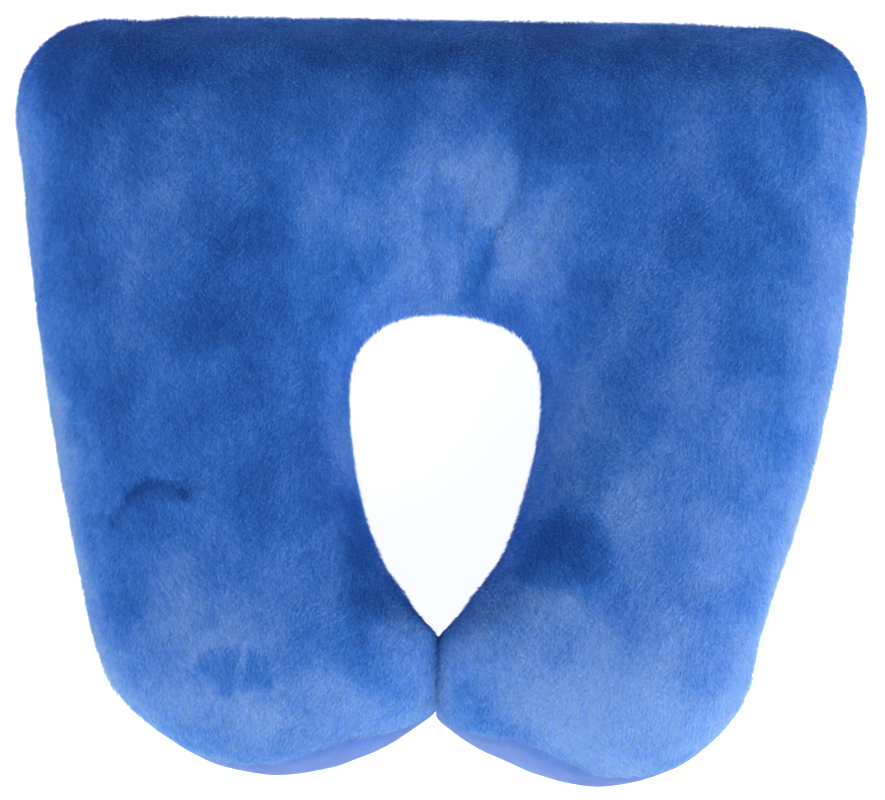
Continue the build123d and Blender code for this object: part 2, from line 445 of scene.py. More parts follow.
def seam_depth(points, normals):
    """Pinch along the seam, with the small gathers that the stitches leave."""
    x, y, z = points.T
    steep = np.maximum(np.hypot(normals[:, 0], normals[:, 1]), 0.45)
    gap = (z - seam_height(x, y)) / steep
    gathers = noise_at(np.c_[x, y, 0.25 * z], 3.2, 5) + 0.6 * noise_at(np.c_[x, y, 0.25 * z], 7.0, 6)
    zip_area = (1 - smooth(98, 116, abs(x))) * smooth(120, 150, y)
    at_tips = smooth(-90, -130, y)
    pinch = (2.2 - 1.0 * at_tips) * bell(gap, 3.0) + (1.2 - 0.4 * at_tips) * bell(gap, 11.0)
    pull = 0.55 * gathers * bell(gap, 9.0)
    return (1 - zip_area) * (pull - pinch)


def displaced(mesh, depth):
    """Moves the points along their normals. None crosses the middle, so the touching tips press flat."""
    before = points_of(mesh)
    after = before + depth[:, None] * normals_of(mesh)
    side = np.sign(before[:, 0])
    after[:, 0] = side * np.maximum(side * after[:, 0], np.minimum(side * before[:, 0], CONTACT_HALF_GAP))
    set_points(mesh, after)


def cut_whole(cushion):
    """Cuts the mesh's faces along the middle plane, the seam and the zip window, without parting them."""
    work = bmesh.new()
    work.from_mesh(cushion.data)

    def cut(geom, dist, plane_co, plane_no):
        bmesh.ops.bisect_plane(work, geom=geom, dist=dist * MM, plane_co=plane_co, plane_no=plane_no)

    cut(work.verts[:] + work.edges[:] + work.faces[:], 0.02, (0, 0, 0), (1, 0, 0))
    for v in work.verts:
        if abs(v.co.x) < 0.03 * MM:
            v.co.x = 0
    for v in work.verts:
        v.co.z -= seam_height(v.co.x / MM, v.co.y / MM) * MM
    cut(work.verts[:] + work.edges[:] + work.faces[:], 0.05, (0, 0, 0), (0, 0, 1))
    for v in work.verts:
        v.co.z += seam_height(v.co.x / MM, v.co.y / MM) * MM
    for plane_co, plane_no in (
        ((ZIP_HALF_X, 0, 0), (1, 0, 0)),
        ((-ZIP_HALF_X, 0, 0), (1, 0, 0)),
        ((0, 0, SEAM_Z + ZIP_HALF_Z), (0, 0, 1)),
        ((0, 0, SEAM_Z - ZIP_HALF_Z), (0, 0, 1)),
    ):
        near = [f for f in work.faces if near_zip(f.calc_center_median())]
        geom = set(near) | {e for f in near for e in f.edges} | {v for f in near for v in f.verts}
        cut(list(geom), 0.05, [c * MM for c in plane_co], plane_no)
    work.to_mesh(cushion.data)
    work.free()


def near_zip(c):
    x, y, z = c.x / MM, c.y / MM, c.z / MM
    return y > 140 and abs(x) < ZIP_HALF_X + 4 and abs(z - SEAM_Z) < ZIP_HALF_Z + 4


def panel_faces(cushion):
    """The points, and the faces of the plush top and of the jersey base, without the zip window."""
    points = points_of(cushion.data)
    top, base = [], []
    for polygon in cushion.data.polygons:
        x, y, z = points[list(polygon.vertices)].mean(0)
        if y > 140 and abs(x) < ZIP_HALF_X and abs(z - SEAM_Z) < ZIP_HALF_Z:
            continue
        (top if z > seam_height(x, y) else base).append(tuple(polygon.vertices))
    return points, top, base


def vertex_normals(points, faces):
    """Area weighted normals of the vertices that the faces use."""
    normals = np.zeros_like(points)
    for size in {len(f) for f in faces}:
        group = np.array([f for f in faces if len(f) == size])
        corners = points[group]
        area = np.zeros((len(group), 3))
        for k in range(1, size - 1):
            area += np.cross(corners[:, k] - corners[:, 0], corners[:, k + 1] - corners[:, 0])
        for k in range(size):
            np.add.at(normals, group[:, k], area)
    return normals / np.maximum(np.linalg.norm(normals, axis=1), 1e-12)[:, None]


def unrolled(points):
    """Where each point lies on the flat cloth, near enough: the sides are folded out round the middle."""
    outward = points[:, :2] / np.maximum(np.linalg.norm(points[:, :2], axis=1), 1.0)[:, None]
    return np.c_[points[:, :2] + points[:, 2:] * outward, np.zeros(len(points))]


def set_attribute(obj, name, values):
    """Stores one number, or one vector, for each of the mesh's points."""
    kind, key = ("FLOAT", "value") if values.ndim == 1 else ("FLOAT_VECTOR", "vector")
    attribute = obj.data.attributes.new(name, kind, "POINT")
    attribute.data.foreach_set(key, values.astype(np.float32).ravel())


def boundary_edges(faces):
    """Directed edges that only one face uses."""
    edges = {(a, b) for f in faces for a, b in zip(f, f[1:] + f[:1])}
    return [(a, b) for a, b in edges if (b, a) not in edges]


def two_skins(outer, n):
    """Faces of a closed sheet: the outer ones, the same n points further on, and the rim between."""
    inner = [tuple(i + n for i in reversed(f)) for f in outer]
    return outer + inner + [(b, a, a + n, b + n) for a, b in boundary_edges(outer)]


def shell(name, points, normals, faces, thickness, tone=None, nap=None):
    """A closed fabric panel: the faces given, the same faces drawn in by the thickness, and its rim.
    The pile grows where 'pile' is 1, 'tone' is how light the cloth looks and 'nap' the way the pile lies."""
    used = sorted({i for f in faces for i in f})
    index = {old: new for new, old in enumerate(used)}
    n = len(used)
    sheet_faces = two_skins([tuple(index[i] for i in f) for f in faces], n)
    out_points, out_normals = points[used], normals[used]
    obj = add_mesh(name, np.vstack([out_points, out_points - thickness * out_normals]), sheet_faces)
    smooth_shaded(obj)
    obj.data.normals_split_custom_set_from_vertices(np.vstack([out_normals, -out_normals]).tolist())
    set_attribute(obj, "pile", np.r_[np.ones(n), np.zeros(n)])
    set_attribute(obj, "grain", np.tile(unrolled(out_points), (2, 1)))
    if tone is not None:
        set_attribute(obj, "tone", np.tile(tone[used], 2))
        set_attribute(obj, "nap", np.tile(nap[used], (2, 1)))
    return obj


def side_faces(points, faces, side):
    return [f for f in faces if side * points[list(f), 0].mean() > 0]


def cut_at_middle(obj):
    """Cuts the mesh's faces along the plane between the two halves, without parting them."""
    with edited(obj.data) as work:
        everything = work.verts[:] + work.edges[:] + work.faces[:]
        bmesh.ops.bisect_plane(work, geom=everything, dist=0.02 * MM, plane_co=(0, 0, 0), plane_no=(1, 0, 0))


def capped_half(name, points, faces):
    """A closed solid from one half's faces and a flat face where it was cut."""
    used = sorted({i for f in faces for i in f})
    index = {old: new for new, old in enumerate(used)}
    obj = add_mesh(name, points[used], [tuple(index[i] for i in f) for f in faces])
    with edited(obj.data) as work:
        open_edges = [e for e in work.edges if e.is_boundary]
        cap = bmesh.ops.holes_fill(work, edges=open_edges)["faces"]
        bmesh.ops.triangulate(work, faces=cap)
    smooth_shaded(obj)
    return obj


def bend(obj):
    """Bakes the object's placement into its mesh."""
    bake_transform(obj)


SIDES = ((LEFT, "left"), (RIGHT, "right"))


def nodes_of(layer, side_name):
    return f"{layer}_back", f"{layer}_{side_name}_arm"


def slab(name, columns, rows, front, back):
    """A closed slab over a grid of x and z, between the y of its front and of its back."""
    x, z = np.meshgrid(columns, rows)
    wide, high = len(columns), len(rows)
    outer = [
        ((r + 1) * wide + c, (r + 1) * wide + c + 1, r * wide + c + 1, r * wide + c)
        for r in range(high - 1)
        for c in range(wide - 1)
    ]
    front_points = np.c_[x.ravel(), front(x, z).ravel(), z.ravel()]
    back_points = np.c_[x.ravel(), back(x, z).ravel(), z.ravel()]
    faces, flat_from = two_skins(outer, wide * high), 2 * len(outer)
    obj = add_mesh(name, np.vstack([front_points, back_points]), faces)
    obj.data.polygons.foreach_set("use_smooth", [True] * flat_from + [False] * (len(faces) - flat_from))
    return obj


def tube(path, radius, sides):
    """Points and faces of a closed round tube along a path; its ends taper to half the radius."""
    along = np.gradient(path, axis=0)
    along /= np.linalg.norm(along, axis=1)[:, None]
    guide = np.tile((0.0, 0.0, 1.0), (len(path), 1))
    guide[abs(along[:, 2]) > 0.9] = (1.0, 0.0, 0.0)
    across = np.cross(along, guide)
    across /= np.linalg.norm(across, axis=1)[:, None]
    up = np.cross(across, along)
    angles = np.arange(sides) * 2 * np.pi / sides
    width = np.full(len(path), radius)
    width[[0, -1]] *= 0.5
    ring = np.cos(angles)[None, :, None] * across[:, None] + np.sin(angles)[None, :, None] * up[:, None]
    skin = (path[:, None] + width[:, None, None] * ring).reshape(-1, 3)
    faces = [
        (k * sides + i, k * sides + (i + 1) % sides, (k + 1) * sides + (i + 1) % sides, (k + 1) * sides + i)
        for k in range(len(path) - 1)
        for i in range(sides)
    ]
    last = (len(path) - 1) * sides
    faces += [tuple(range(sides))[::-1], tuple(last + i for i in range(sides))]
    return skin, faces


def tubes(name, paths, radius, sides=6):
    """One object from several tubes."""
    all_points, all_faces, start = [], [], 0
    for path in paths:
        skin, faces = tube(np.asarray(path, float), radius, sides)
        all_points.append(skin)
        all_faces += [tuple(start + i for i in f) for f in faces]
        start += len(skin)
    obj = add_mesh(name, np.vstack(all_points), all_faces)
    smooth_shaded(obj)
    return obj


def ray_from_behind(objects):
    """A function that gives the y of these panels' outside, seen from behind, at any x and z."""
    graph = bpy.context.evaluated_depsgraph_get()
    trees = [BVHTree.FromObject(o, graph) for o in objects]

    def surface_y(x, z):
        hits = [tree.ray_cast(Vector((x, 400, z)) * MM, Vector((0, -1, 0)))[0] for tree in trees]
        return max(hit.y for hit in hits if hit is not None) / MM

    return surface_y


# ---------------------------------------------------------------- zip, stitches and label
TAPE_WIDTH = TAPE_HIGH[2] - SEAM_Z
TAPE_RIB = 0.8
COIL_PITCH = 1.3
COIL_WIRE = 0.3
TURN_POINTS = 10
STITCH_LENGTH, STITCH_GAP, STITCH_THREAD = 2.6, 0.9, 0.24
STITCH_INSET = 2.2
LABEL_T = 0.35
LABEL_HEM = 3.5


def zip_tape(name, side):
    """Woven tape: flat, with fine ribs, the ridge that its coil is sewn to and a thicker outer edge."""
    near, far = SEAM_Z + side * (COIL_LOW[2] - SEAM_Z), SEAM_Z + side * TAPE_WIDTH
    columns = np.linspace(TAPE_LOW[0], TAPE_HIGH[0], 207)
    rows = np.linspace(min(near, far), max(near, far), 61)

    def front(x, z):
        out = abs(z - SEAM_Z)
        ribs = 0.04 * np.cos(2 * np.pi * out / TAPE_RIB)
        ridge = 0.25 * bell(out - 3.9, 0.7) + 0.12 * bell(out - TAPE_WIDTH + 0.7, 0.5)
        return TAPE_HIGH[1] - 0.25 + ribs + ridge + 0.06 * np.sin(x / 9.0 + side)

    def back(x, z):
        return np.full(x.shape, TAPE_LOW[1])

    return slab(name, columns, rows, front, back)


def zip_coil(name, side):
    """Nylon coil: one long flattened helix, whose turns stand between the other coil's."""
    turns = int((COIL_HIGH[0] - COIL_LOW[0] - 2 * COIL_PITCH) / COIL_PITCH)
    t = np.arange(turns * TURN_POINTS + 1) / TURN_POINTS
    half_z = (COIL_HIGH[2] - COIL_LOW[2]) / 2
    half_y = (COIL_HIGH[1] - COIL_LOW[1]) / 2
    x = COIL_LOW[0] + COIL_PITCH * (t + (1.0 if side > 0 else 0.5))
    z = SEAM_Z + side * (half_z + (half_z - COIL_WIRE + 0.35) * np.cos(2 * np.pi * t))
    y = COIL_LOW[1] + half_y + (half_y - COIL_WIRE) * np.sin(2 * np.pi * t)
    return tubes(name, [np.c_[x, y, z]], COIL_WIRE)


def stitch(start, end, surface_y):
    """One stitch from start to end, each (x, z), arched over the cloth between them."""
    share = np.linspace(0, 1, 7)
    at = np.array(start) + share[:, None] * (np.array(end) - start)
    rise = 0.28 * np.sin(np.pi * share) - 0.12
    return [(x, surface_y(x, z) + up, z) for (x, z), up in zip(at, rise)]


def stitch_row(start, end, surface_y):
    """A straight row of stitches between two points, each (x, z)."""
    start, end = np.array(start), np.array(end)
    length = np.linalg.norm(end - start)
    count = int(length / (STITCH_LENGTH + STITCH_GAP))
    step = (end - start) / count
    share = STITCH_LENGTH / (STITCH_LENGTH + STITCH_GAP)
    return [stitch(start + k * step, start + (k + share) * step, surface_y) for k in range(count)]


def zip_stitches(surface_y):
    """A frame of lockstitches round the zip window."""
    x, z = ZIP_HALF_X + STITCH_INSET, ZIP_HALF_Z + STITCH_INSET
    corners = [(-x, SEAM_Z + z), (x, SEAM_Z + z), (x, SEAM_Z - z), (-x, SEAM_Z - z)]
    rows = [stitch_row(a, b, surface_y) for a, b in zip(corners, corners[1:] + corners[:1])]
    return tubes("zip_stitches", [path for row in rows for path in row], STITCH_THREAD)


def care_label(surface_y):
    """Blank satin label, sewn into the seam at its top and hanging free below, with a turned hem."""
    columns = np.linspace(LABEL_LOW[0], LABEL_HIGH[0], 21)
    rows = np.linspace(LABEL_LOW[2], SEAM_Z, 41)
    hang = np.zeros((len(rows), len(columns)))
    lowest_y = -np.inf
    for r in range(len(rows) - 1, -1, -1):
        on_cloth = max(surface_y(x, rows[r]) for x in columns[::4]) + 0.4
        lowest_y = max(on_cloth, lowest_y)
        hang[r] = lowest_y
    tucked = smooth(2.5, 0, SEAM_Z - rows)[:, None]
    middle = (columns - columns.mean()) / (columns[-1] - columns[0])
    free = ((SEAM_Z - rows) / (SEAM_Z - rows[0]))[:, None]
    curl = free**2 * (1.6 * (2 * middle) ** 2 + 0.5 * np.sin(5 * middle)) + 0.8 * free**3
    body = hang + curl - 1.5 * tucked

    def front(x, z):
        hem = 0.3 * smooth(LABEL_HEM + 0.4, LABEL_HEM, z - LABEL_LOW[2])
        return body + LABEL_T + hem

    def back(x, z):
        return body

    return slab("blank_care_label", columns, rows, front, back)


# ---------------------------------------------------------------- materials
# plush and strand colours at a tone of 0, at the middle and at 1; the tone carries painted light and shade as
# well as the nap's patches
DARK_PLUSH, PLUSH, LIGHT_PLUSH = (0.002, 0.085, 0.43), (0.026, 0.20, 0.68), (0.20, 0.40, 0.92)
DARK_STRAND, STRAND, LIGHT_STRAND = (0.004, 0.165, 0.62), (0.070, 0.355, 0.84), (0.40, 0.61, 0.81)


class Look:
    """A new material, its nodes, and short ways to add and join them. Patterns are in millimetres."""

    def __init__(self, name, **fixed):
        self.material = bpy.data.materials.new(name)
        self.material.use_nodes = True
        self.nodes, self.links = self.material.node_tree.nodes, self.material.node_tree.links
        self.shader = self.nodes["Principled BSDF"]
        for key, value in fixed.items():
            self.shader.inputs[key.replace("_", " ")].default_value = value

    def add(self, kind, inputs=(), **settings):
        node = self.nodes.new(kind)
        for key, value in settings.items():
            setattr(node, key, value)
        for key, value in dict(inputs).items():
            self.put(node.inputs[key], value)
        return node

    def put(self, socket, value):
        if isinstance(value, bpy.types.NodeSocket):
            self.links.new(value, socket)
        else:
            socket.default_value = value

    def place(self):
        """Position on the object, in millimetres."""
        at = self.add("ShaderNodeTexCoord").outputs["Object"]
        return self.add("ShaderNodeVectorMath", {0: at, "Scale": 1 / MM}, operation="SCALE").outputs[0]

    def attribute(self, name, output="Fac"):
        return self.add("ShaderNodeAttribute", attribute_name=name).outputs[output]

    def math(self, operation, a, b=0.0):
        return self.add("ShaderNodeMath", {0: a, 1: b}, operation=operation).outputs[0]

    def plus(self, a, b):
        return self.math("ADD", a, b)

    def times(self, a, b):
        return self.math("MULTIPLY", a, b)

    def wave(self, value, period, kind="SINE"):
        return self.math(kind, self.times(value, 2 * math.pi / period))

    def parts(self, vector):
        """The x, y and z of a vector."""
        return self.add("ShaderNodeSeparateXYZ", {0: vector}).outputs

    def noise(self, at, size, detail=2.0, roughness=0.5):
        inputs = {"Vector": at, "Scale": 1 / size, "Detail": detail, "Roughness": roughness}
        return self.add("ShaderNodeTexNoise", inputs).outputs["Fac"]

    def stretched(self, at, scale):
        return self.add("ShaderNodeMapping", {"Vector": at, "Scale": scale}).outputs[0]

    def ramp(self, value, stops):
        """Colours at places from 0 to 1, mixed between them."""
        node = self.add("ShaderNodeValToRGB", {"Fac": value})
        elements = node.color_ramp.elements
        while len(elements) < len(stops):
            elements.new(0.5)
        for element, (at, colour) in zip(elements, stops):
            element.position, element.color = at, (*colour, 1)
        return node.outputs["Color"]

    def mapped(self, value, low, high, to_low, to_high):
        inputs = {"Value": value, 1: low, 2: high, 3: to_low, 4: to_high}
        return self.add("ShaderNodeMapRange", inputs).outputs[0]

    def from_noise(self, value, to_low, to_high):
        """A range for a noise, which lies mostly between 0.3 and 0.7."""
        return self.mapped(value, 0.3, 0.7, to_low, to_high)

    def colour(self, value):
        self.put(self.shader.inputs["Base Color"], value)

    def roughness(self, value):
        self.put(self.shader.inputs["Roughness"], value)

    def bump(self, height, distance, strength=1.0):
        inputs = {"Height": height, "Distance": distance * MM, "Strength": strength}
        self.put(self.shader.inputs["Normal"], self.add("ShaderNodeBump", inputs).outputs[0])


def plush_look():
    """Short brushed pile: tone from the nap and from painted light and shade, clumps of fibres and a violet
    sheen towards its edges.
    """
    look = Look("plush", Roughness=0.9, Sheen_Weight=0.2, Sheen_Roughness=0.4, Sheen_Tint=(0.5, 0.65, 1, 1))
    at = look.place()
    clumps = look.noise(look.stretched(at, (1.0, 0.45, 0.6)), 2.4, 3.0, 0.6)
    fibres = look.noise(look.stretched(at, (1.0, 0.3, 0.5)), 0.5, 2.0)
    mottled = look.plus(look.attribute("tone"), look.from_noise(clumps, -0.15, 0.15))
    mottled = look.plus(mottled, look.from_noise(fibres, -0.10, 0.10))
    look.colour(look.ramp(mottled, ((0.0, DARK_PLUSH), (0.42, PLUSH), (1.0, LIGHT_PLUSH))))
    look.roughness(look.from_noise(fibres, 0.78, 0.95))
    look.bump(look.plus(look.times(clumps, 1.4), fibres), 0.55, 0.9)
    return look.material


def strand_look():
    """The pile's own fibres, in the panel's tone, and darker at the root as painted shade deep in the pile.
    """
    look = Look("plush_strand", Roughness=0.6, Sheen_Weight=0.15, Sheen_Tint=(0.6, 0.7, 1, 1))
    info = look.add("ShaderNodeHairInfo")
    tone = look.plus(look.attribute("tone"), look.mapped(info.outputs["Random"], 0, 1, -0.22, 0.22))
    # painted shade deep in the pile: darker at the root, lighter at the tip
    tone = look.plus(tone, look.mapped(info.outputs["Intercept"], 0, 1, -0.16, 0.14))
    tone = look.plus(tone, look.mapped(look.attribute("shade"), 0, 1, -0.16, 0.16))
    look.colour(look.ramp(tone, ((0.0, DARK_STRAND), (0.42, STRAND), (1.0, LIGHT_STRAND))))
    return look.material


def jersey_look():
    """Smooth violet-blue knit with columns of small stitches."""
    look = Look("jersey", Roughness=0.6, Sheen_Weight=0.35, Sheen_Roughness=0.35, Sheen_Tint=(0.6, 0.7, 1, 1))
    grain = look.attribute("grain", "Vector")
    parts = look.parts(grain)
    across = look.math("FRACT", look.times(parts[0], 1 / 0.9))
    from_middle = look.math("ABSOLUTE", look.math("SUBTRACT", across, 0.5))
    slanted = look.plus(look.times(parts[1], 1 / 0.7), from_middle)
    legs = look.wave(slanted, 1.0)
    columns = look.wave(from_middle, 1.0, "COSINE")
    height = look.math("SUBTRACT", look.times(legs, 0.5), columns)
    fluff = look.noise(look.place(), 0.35, 2.0)
    drift = look.noise(look.place(), 26, 2.0)
    tone = look.plus(look.mapped(height, -1.4, 1.4, 0.35, 0.65), look.from_noise(drift, -0.2, 0.2))
    look.colour(look.ramp(tone, ((0.0, (0.060, 0.160, 0.56)), (1.0, (0.110, 0.255, 0.72)))))
    look.roughness(look.from_noise(fluff, 0.5, 0.72))
    look.bump(look.plus(height, look.times(fluff, 0.5)), 0.09, 0.8)
    return look.material


def woven_look(name, dark, light, thread, roughness):
    """Plain weave of crossing threads."""
    look = Look(name, Roughness=roughness)
    parts = look.parts(look.attribute("grain", "Vector"))
    warp = look.wave(parts[0], 2 * thread)
    weft = look.wave(parts[1], 2 * thread)
    height = look.times(warp, weft)
    slubs = look.noise(look.place(), 3.0, 3.0)
    tone = look.plus(look.mapped(height, -1, 1, 0.0, 0.5), look.times(slubs, 0.5))
    look.colour(look.ramp(tone, ((0.2, dark), (0.8, light))))
    look.bump(height, 0.08, 0.7)
    return look.material


def fibre_look():
    """Loose white polyester fibre in soft clumps."""
    look = Look("white_fibre", Roughness=0.9, Sheen_Weight=0.4, Sheen_Roughness=0.6)
    at = look.place()
    clumps = look.noise(at, 9.0, 4.0, 0.65)
    hairs = look.noise(look.stretched(at, (1.0, 0.25, 0.7)), 0.6, 3.0, 0.7)
    look.colour(look.ramp(clumps, ((0.3, (0.62, 0.63, 0.66)), (0.7, (0.88, 0.88, 0.87)))))
    look.bump(look.plus(look.times(clumps, 2.5), hairs), 0.9, 0.8)
    return look.material


def tape_look():
    """Blue zip tape in a fine herringbone."""
    look = Look("zip_tape", Roughness=0.7, Sheen_Weight=0.2)
    parts = look.parts(look.place())
    fold = look.math("PINGPONG", parts[2], TAPE_RIB)
    height = look.wave(look.plus(parts[0], fold), 0.5)
    dirt = look.noise(look.place(), 4.0, 2.0)
    tone = look.plus(look.mapped(height, -1, 1, 0.1, 0.6), look.times(dirt, 0.4))
    look.colour(look.ramp(tone, ((0.1, (0.012, 0.05, 0.26)), (0.9, (0.035, 0.12, 0.46)))))
    look.bump(height, 0.07, 0.8)
    return look.material


def nylon_look():
    """Zip coil: smooth blue nylon wire, polished where the slider rubs."""
    look = Look("zip_coil", Roughness=0.35, IOR=1.5)
    marks = look.noise(look.place(), 0.8, 3.0)
    look.colour(look.ramp(marks, ((0.3, (0.012, 0.055, 0.30)), (0.7, (0.03, 0.11, 0.45)))))
    look.roughness(look.from_noise(marks, 0.28, 0.45))
    look.bump(marks, 0.02, 0.5)
    return look.material


def metal_look():
    """Satin nickel with fine scratches and duller hollows."""
    look = Look("zip_metal", Metallic=1.0, Roughness=0.3)
    at = look.place()
    scratches = look.noise(look.stretched(at, (0.15, 1.0, 1.6)), 0.25, 3.0, 0.6)
    smudges = look.noise(at, 3.0, 2.0)
    look.colour(look.ramp(smudges, ((0.3, (0.50, 0.49, 0.47)), (0.7, (0.72, 0.71, 0.69)))))
    dull = look.from_noise(smudges, 0.0, 0.08)
    look.roughness(look.plus(look.from_noise(scratches, 0.16, 0.34), dull))
    look.bump(scratches, 0.02, 0.4)
    return look.material


def satin_look():
    """White satin ribbon with fine ribs across it."""
    look = Look("label_satin", Roughness=0.4, Sheen_Weight=0.3)
    at = look.place()
    parts = look.parts(at)
    ribs = look.wave(parts[2], 0.35)
    threads = look.noise(look.stretched(at, (1.0, 1.0, 0.1)), 0.3, 2.0)
    tone = look.plus(look.mapped(ribs, -1, 1, 0, 0.5), look.times(threads, 0.5))
    look.colour(look.ramp(tone, ((0.1, (0.80, 0.81, 0.83)), (0.9, (0.92, 0.92, 0.92)))))
    look.roughness(look.from_noise(threads, 0.32, 0.5))
    look.bump(ribs, 0.03, 0.6)
    return look.material


def thread_look():
    """Blue sewing thread, twisted."""
    look = Look("thread", Roughness=0.55, Sheen_Weight=0.3)
    parts = look.parts(look.place())
    turns = look.wave(look.plus(parts[0], parts[2]), 0.4)
    tone = look.mapped(turns, -1, 1, 0, 1)
    look.colour(look.ramp(tone, ((0.0, (0.02, 0.09, 0.36)), (1.0, (0.05, 0.17, 0.58)))))
    look.bump(turns, 0.05, 0.8)
    return look.material


def dress(obj, material):
    """Gives a piece or a CAD node one material, in place of any it has."""
    obj.data.materials.clear()
    obj.data.materials.append(material)


# ---------------------------------------------------------------- pile
PILE_PER_MM2 = 3.2
PILE_LENGTH = 1.9
PILE_RADIUS = 0.055
PILE_POINTS = 4
# how far a strand stands up, leans with the nap, strays and leans to the middle of its tuft, as shares
PILE_RISE, PILE_LEAN, PILE_STRAY, PILE_GATHER = 0.62, 0.75, 0.2, 0.62
TUFT_SIZE = 1.7


def pile_nodes(material):
    """Geometry nodes that grow short curved strands from a panel's outside, lying along its nap."""
    group = bpy.data.node_groups.new("pile", "GeometryNodeTree")
    group.interface.new_socket("Geometry", in_out="INPUT", socket_type="NodeSocketGeometry")
    group.interface.new_socket("Panel", in_out="INPUT", socket_type="NodeSocketObject")
    group.interface.new_socket("Geometry", in_out="OUTPUT", socket_type="NodeSocketGeometry")

    def add(kind, inputs=(), **settings):
        node = group.nodes.new(kind)
        for key, value in settings.items():
            setattr(node, key, value)
        for key, value in dict(inputs).items():
            if isinstance(value, bpy.types.NodeSocket):
                group.links.new(value, node.inputs[key])
            else:
                node.inputs[key].default_value = value
        return node

    def named(name, kind):
        return add("GeometryNodeInputNamedAttribute", {"Name": name}, data_type=kind).outputs[0]

    def scaled(vector, amount):
        return add("ShaderNodeVectorMath", {0: vector, "Scale": amount}, operation="SCALE").outputs[0]

    def summed(a, b):
        return add("ShaderNodeVectorMath", {0: a, 1: b}, operation="ADD").outputs[0]

    def product(a, b):
        return add("ShaderNodeMath", {0: a, 1: b}, operation="MULTIPLY").outputs[0]

    chosen = group.nodes.new("NodeGroupInput").outputs["Panel"]
    panel = add("GeometryNodeObjectInfo", {"Object": chosen}, transform_space="RELATIVE").outputs["Geometry"]
    density = product(named("pile", "FLOAT"), PILE_PER_MM2 / MM**2)
    scatter = add("GeometryNodeDistributePointsOnFaces", {"Mesh": panel, "Density": density, "Seed": 7})
    stray = add("FunctionNodeRandomValue", {"Seed": 3}, data_type="FLOAT_VECTOR")
    stray.inputs["Min"].default_value, stray.inputs["Max"].default_value = (-1, -1, -1), (1, 1, 1)
    reach = add("FunctionNodeRandomValue", {"Seed": 5}, data_type="FLOAT")
    reach.inputs[2].default_value, reach.inputs[3].default_value = 0.7, 1.15
    root = add("GeometryNodeInputPosition").outputs[0]
    tufts = add("ShaderNodeTexVoronoi", {"Vector": root, "Scale": 1 / (TUFT_SIZE * MM)})
    towards = add("ShaderNodeVectorMath", {0: tufts.outputs["Position"], 1: root}, operation="SUBTRACT")
    shade = add("ShaderNodeSeparateXYZ", {0: tufts.outputs["Color"]})
    roots = scatter.outputs["Points"]
    for name, kind, value in (
        ("up", "FLOAT_VECTOR", scatter.outputs["Normal"]),
        ("stray", "FLOAT_VECTOR", stray.outputs["Value"]),
        ("gather", "FLOAT_VECTOR", towards.outputs[0]),
        ("shade", "FLOAT", shade.outputs[0]),
        ("reach", "FLOAT", reach.outputs[1]),
    ):
        inputs = {"Geometry": roots, "Name": name, "Value": value}
        roots = add("GeometryNodeStoreNamedAttribute", inputs, data_type=kind, domain="POINT").outputs[0]
    line = add("GeometryNodeCurvePrimitiveLine", {"Start": (0, 0, 0), "End": (0, 0, MM)}).outputs[0]
    strand = add("GeometryNodeResampleCurve", {"Curve": line, "Count": PILE_POINTS}).outputs[0]
    grown = add("GeometryNodeInstanceOnPoints", {"Points": roots, "Instance": strand}).outputs[0]
    strands = add("GeometryNodeRealizeInstances", {"Geometry": grown}).outputs[0]

    along = add("GeometryNodeSplineParameter").outputs["Factor"]
    length = product(named("reach", "FLOAT"), PILE_LENGTH * MM)
    here = product(along, length)
    rise = scaled(named("up", "FLOAT_VECTOR"), product(here, PILE_RISE))
    lean = scaled(named("nap", "FLOAT_VECTOR"), product(product(here, along), PILE_LEAN))
    astray = scaled(named("stray", "FLOAT_VECTOR"), product(here, PILE_STRAY))
    gathered = scaled(named("gather", "FLOAT_VECTOR"), product(along, PILE_GATHER))
    straight = scaled(add("ShaderNodeCombineXYZ", {"Z": -MM}).outputs[0], along)
    offset = summed(summed(summed(rise, lean), gathered), summed(astray, straight))
    bent = add("GeometryNodeSetPosition", {"Geometry": strands, "Offset": offset}).outputs[0]
    width = PILE_RADIUS * MM
    taper = add("ShaderNodeMapRange", {"Value": along, 3: width, 4: 0.3 * width}).outputs[0]
    round_strands = add("GeometryNodeSetCurveRadius", {"Curve": bent, "Radius": taper}).outputs[0]
    coloured = add("GeometryNodeSetMaterial", {"Geometry": round_strands, "Material": material}).outputs[0]
    group.links.new(coloured, group.nodes.new("NodeGroupOutput").inputs[0])
    return group


def grow_pile(panel, group, material):
    """Hair that follows a plush panel's own mesh, however it bends. It's for the picture alone."""
    hair = bpy.data.objects.new(f"pile_of_{panel.name}", bpy.data.hair_curves.new("pile"))
    hair.data.materials.append(material)
    bpy.context.scene.collection.objects.link(hair)
    modifier = hair.modifiers.new("pile", "NODES")
    modifier.node_group = group
    modifier[group.interface.items_tree["Panel"].identifier] = panel
    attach(hair, "back")


# ---------------------------------------------------------------- the cushion's form
SEAT_SHIFT = -2.0
TIP_SEAM_RISE = 21.0
CREASE = np.array(((-124.0, -63.0), (-120.0, -55.0), (-113.0, -50.5), (-105.0, -51.0), (-99.0, -55.0)))
# each pucker: its angle round the neck hole, where it starts and ends, its depth and its width in degrees
PUCKERS = (
    (38, 44, 88, 0.6, 4.0),
    (55, 42, 105, 1.1, 4.5),
    (71, 40, 112, 1.5, 4.0),
    (82, 42, 96, 1.0, 3.2),
    (95, 40, 104, 1.2, 4.0),
    (112, 42, 92, 0.9, 4.5),
    (128, 44, 84, 0.8, 4.0),
    (150, 42, 78, 0.6, 4.0),
)

# how the stuffed cushion differs from its even outline
LEFT_TIP_SHORTER, RIGHT_TIP_SHORTER, CONTACT_SHIFT = 6.0, 3.0, 0.6
INNER_WALL_OUT = 10.5
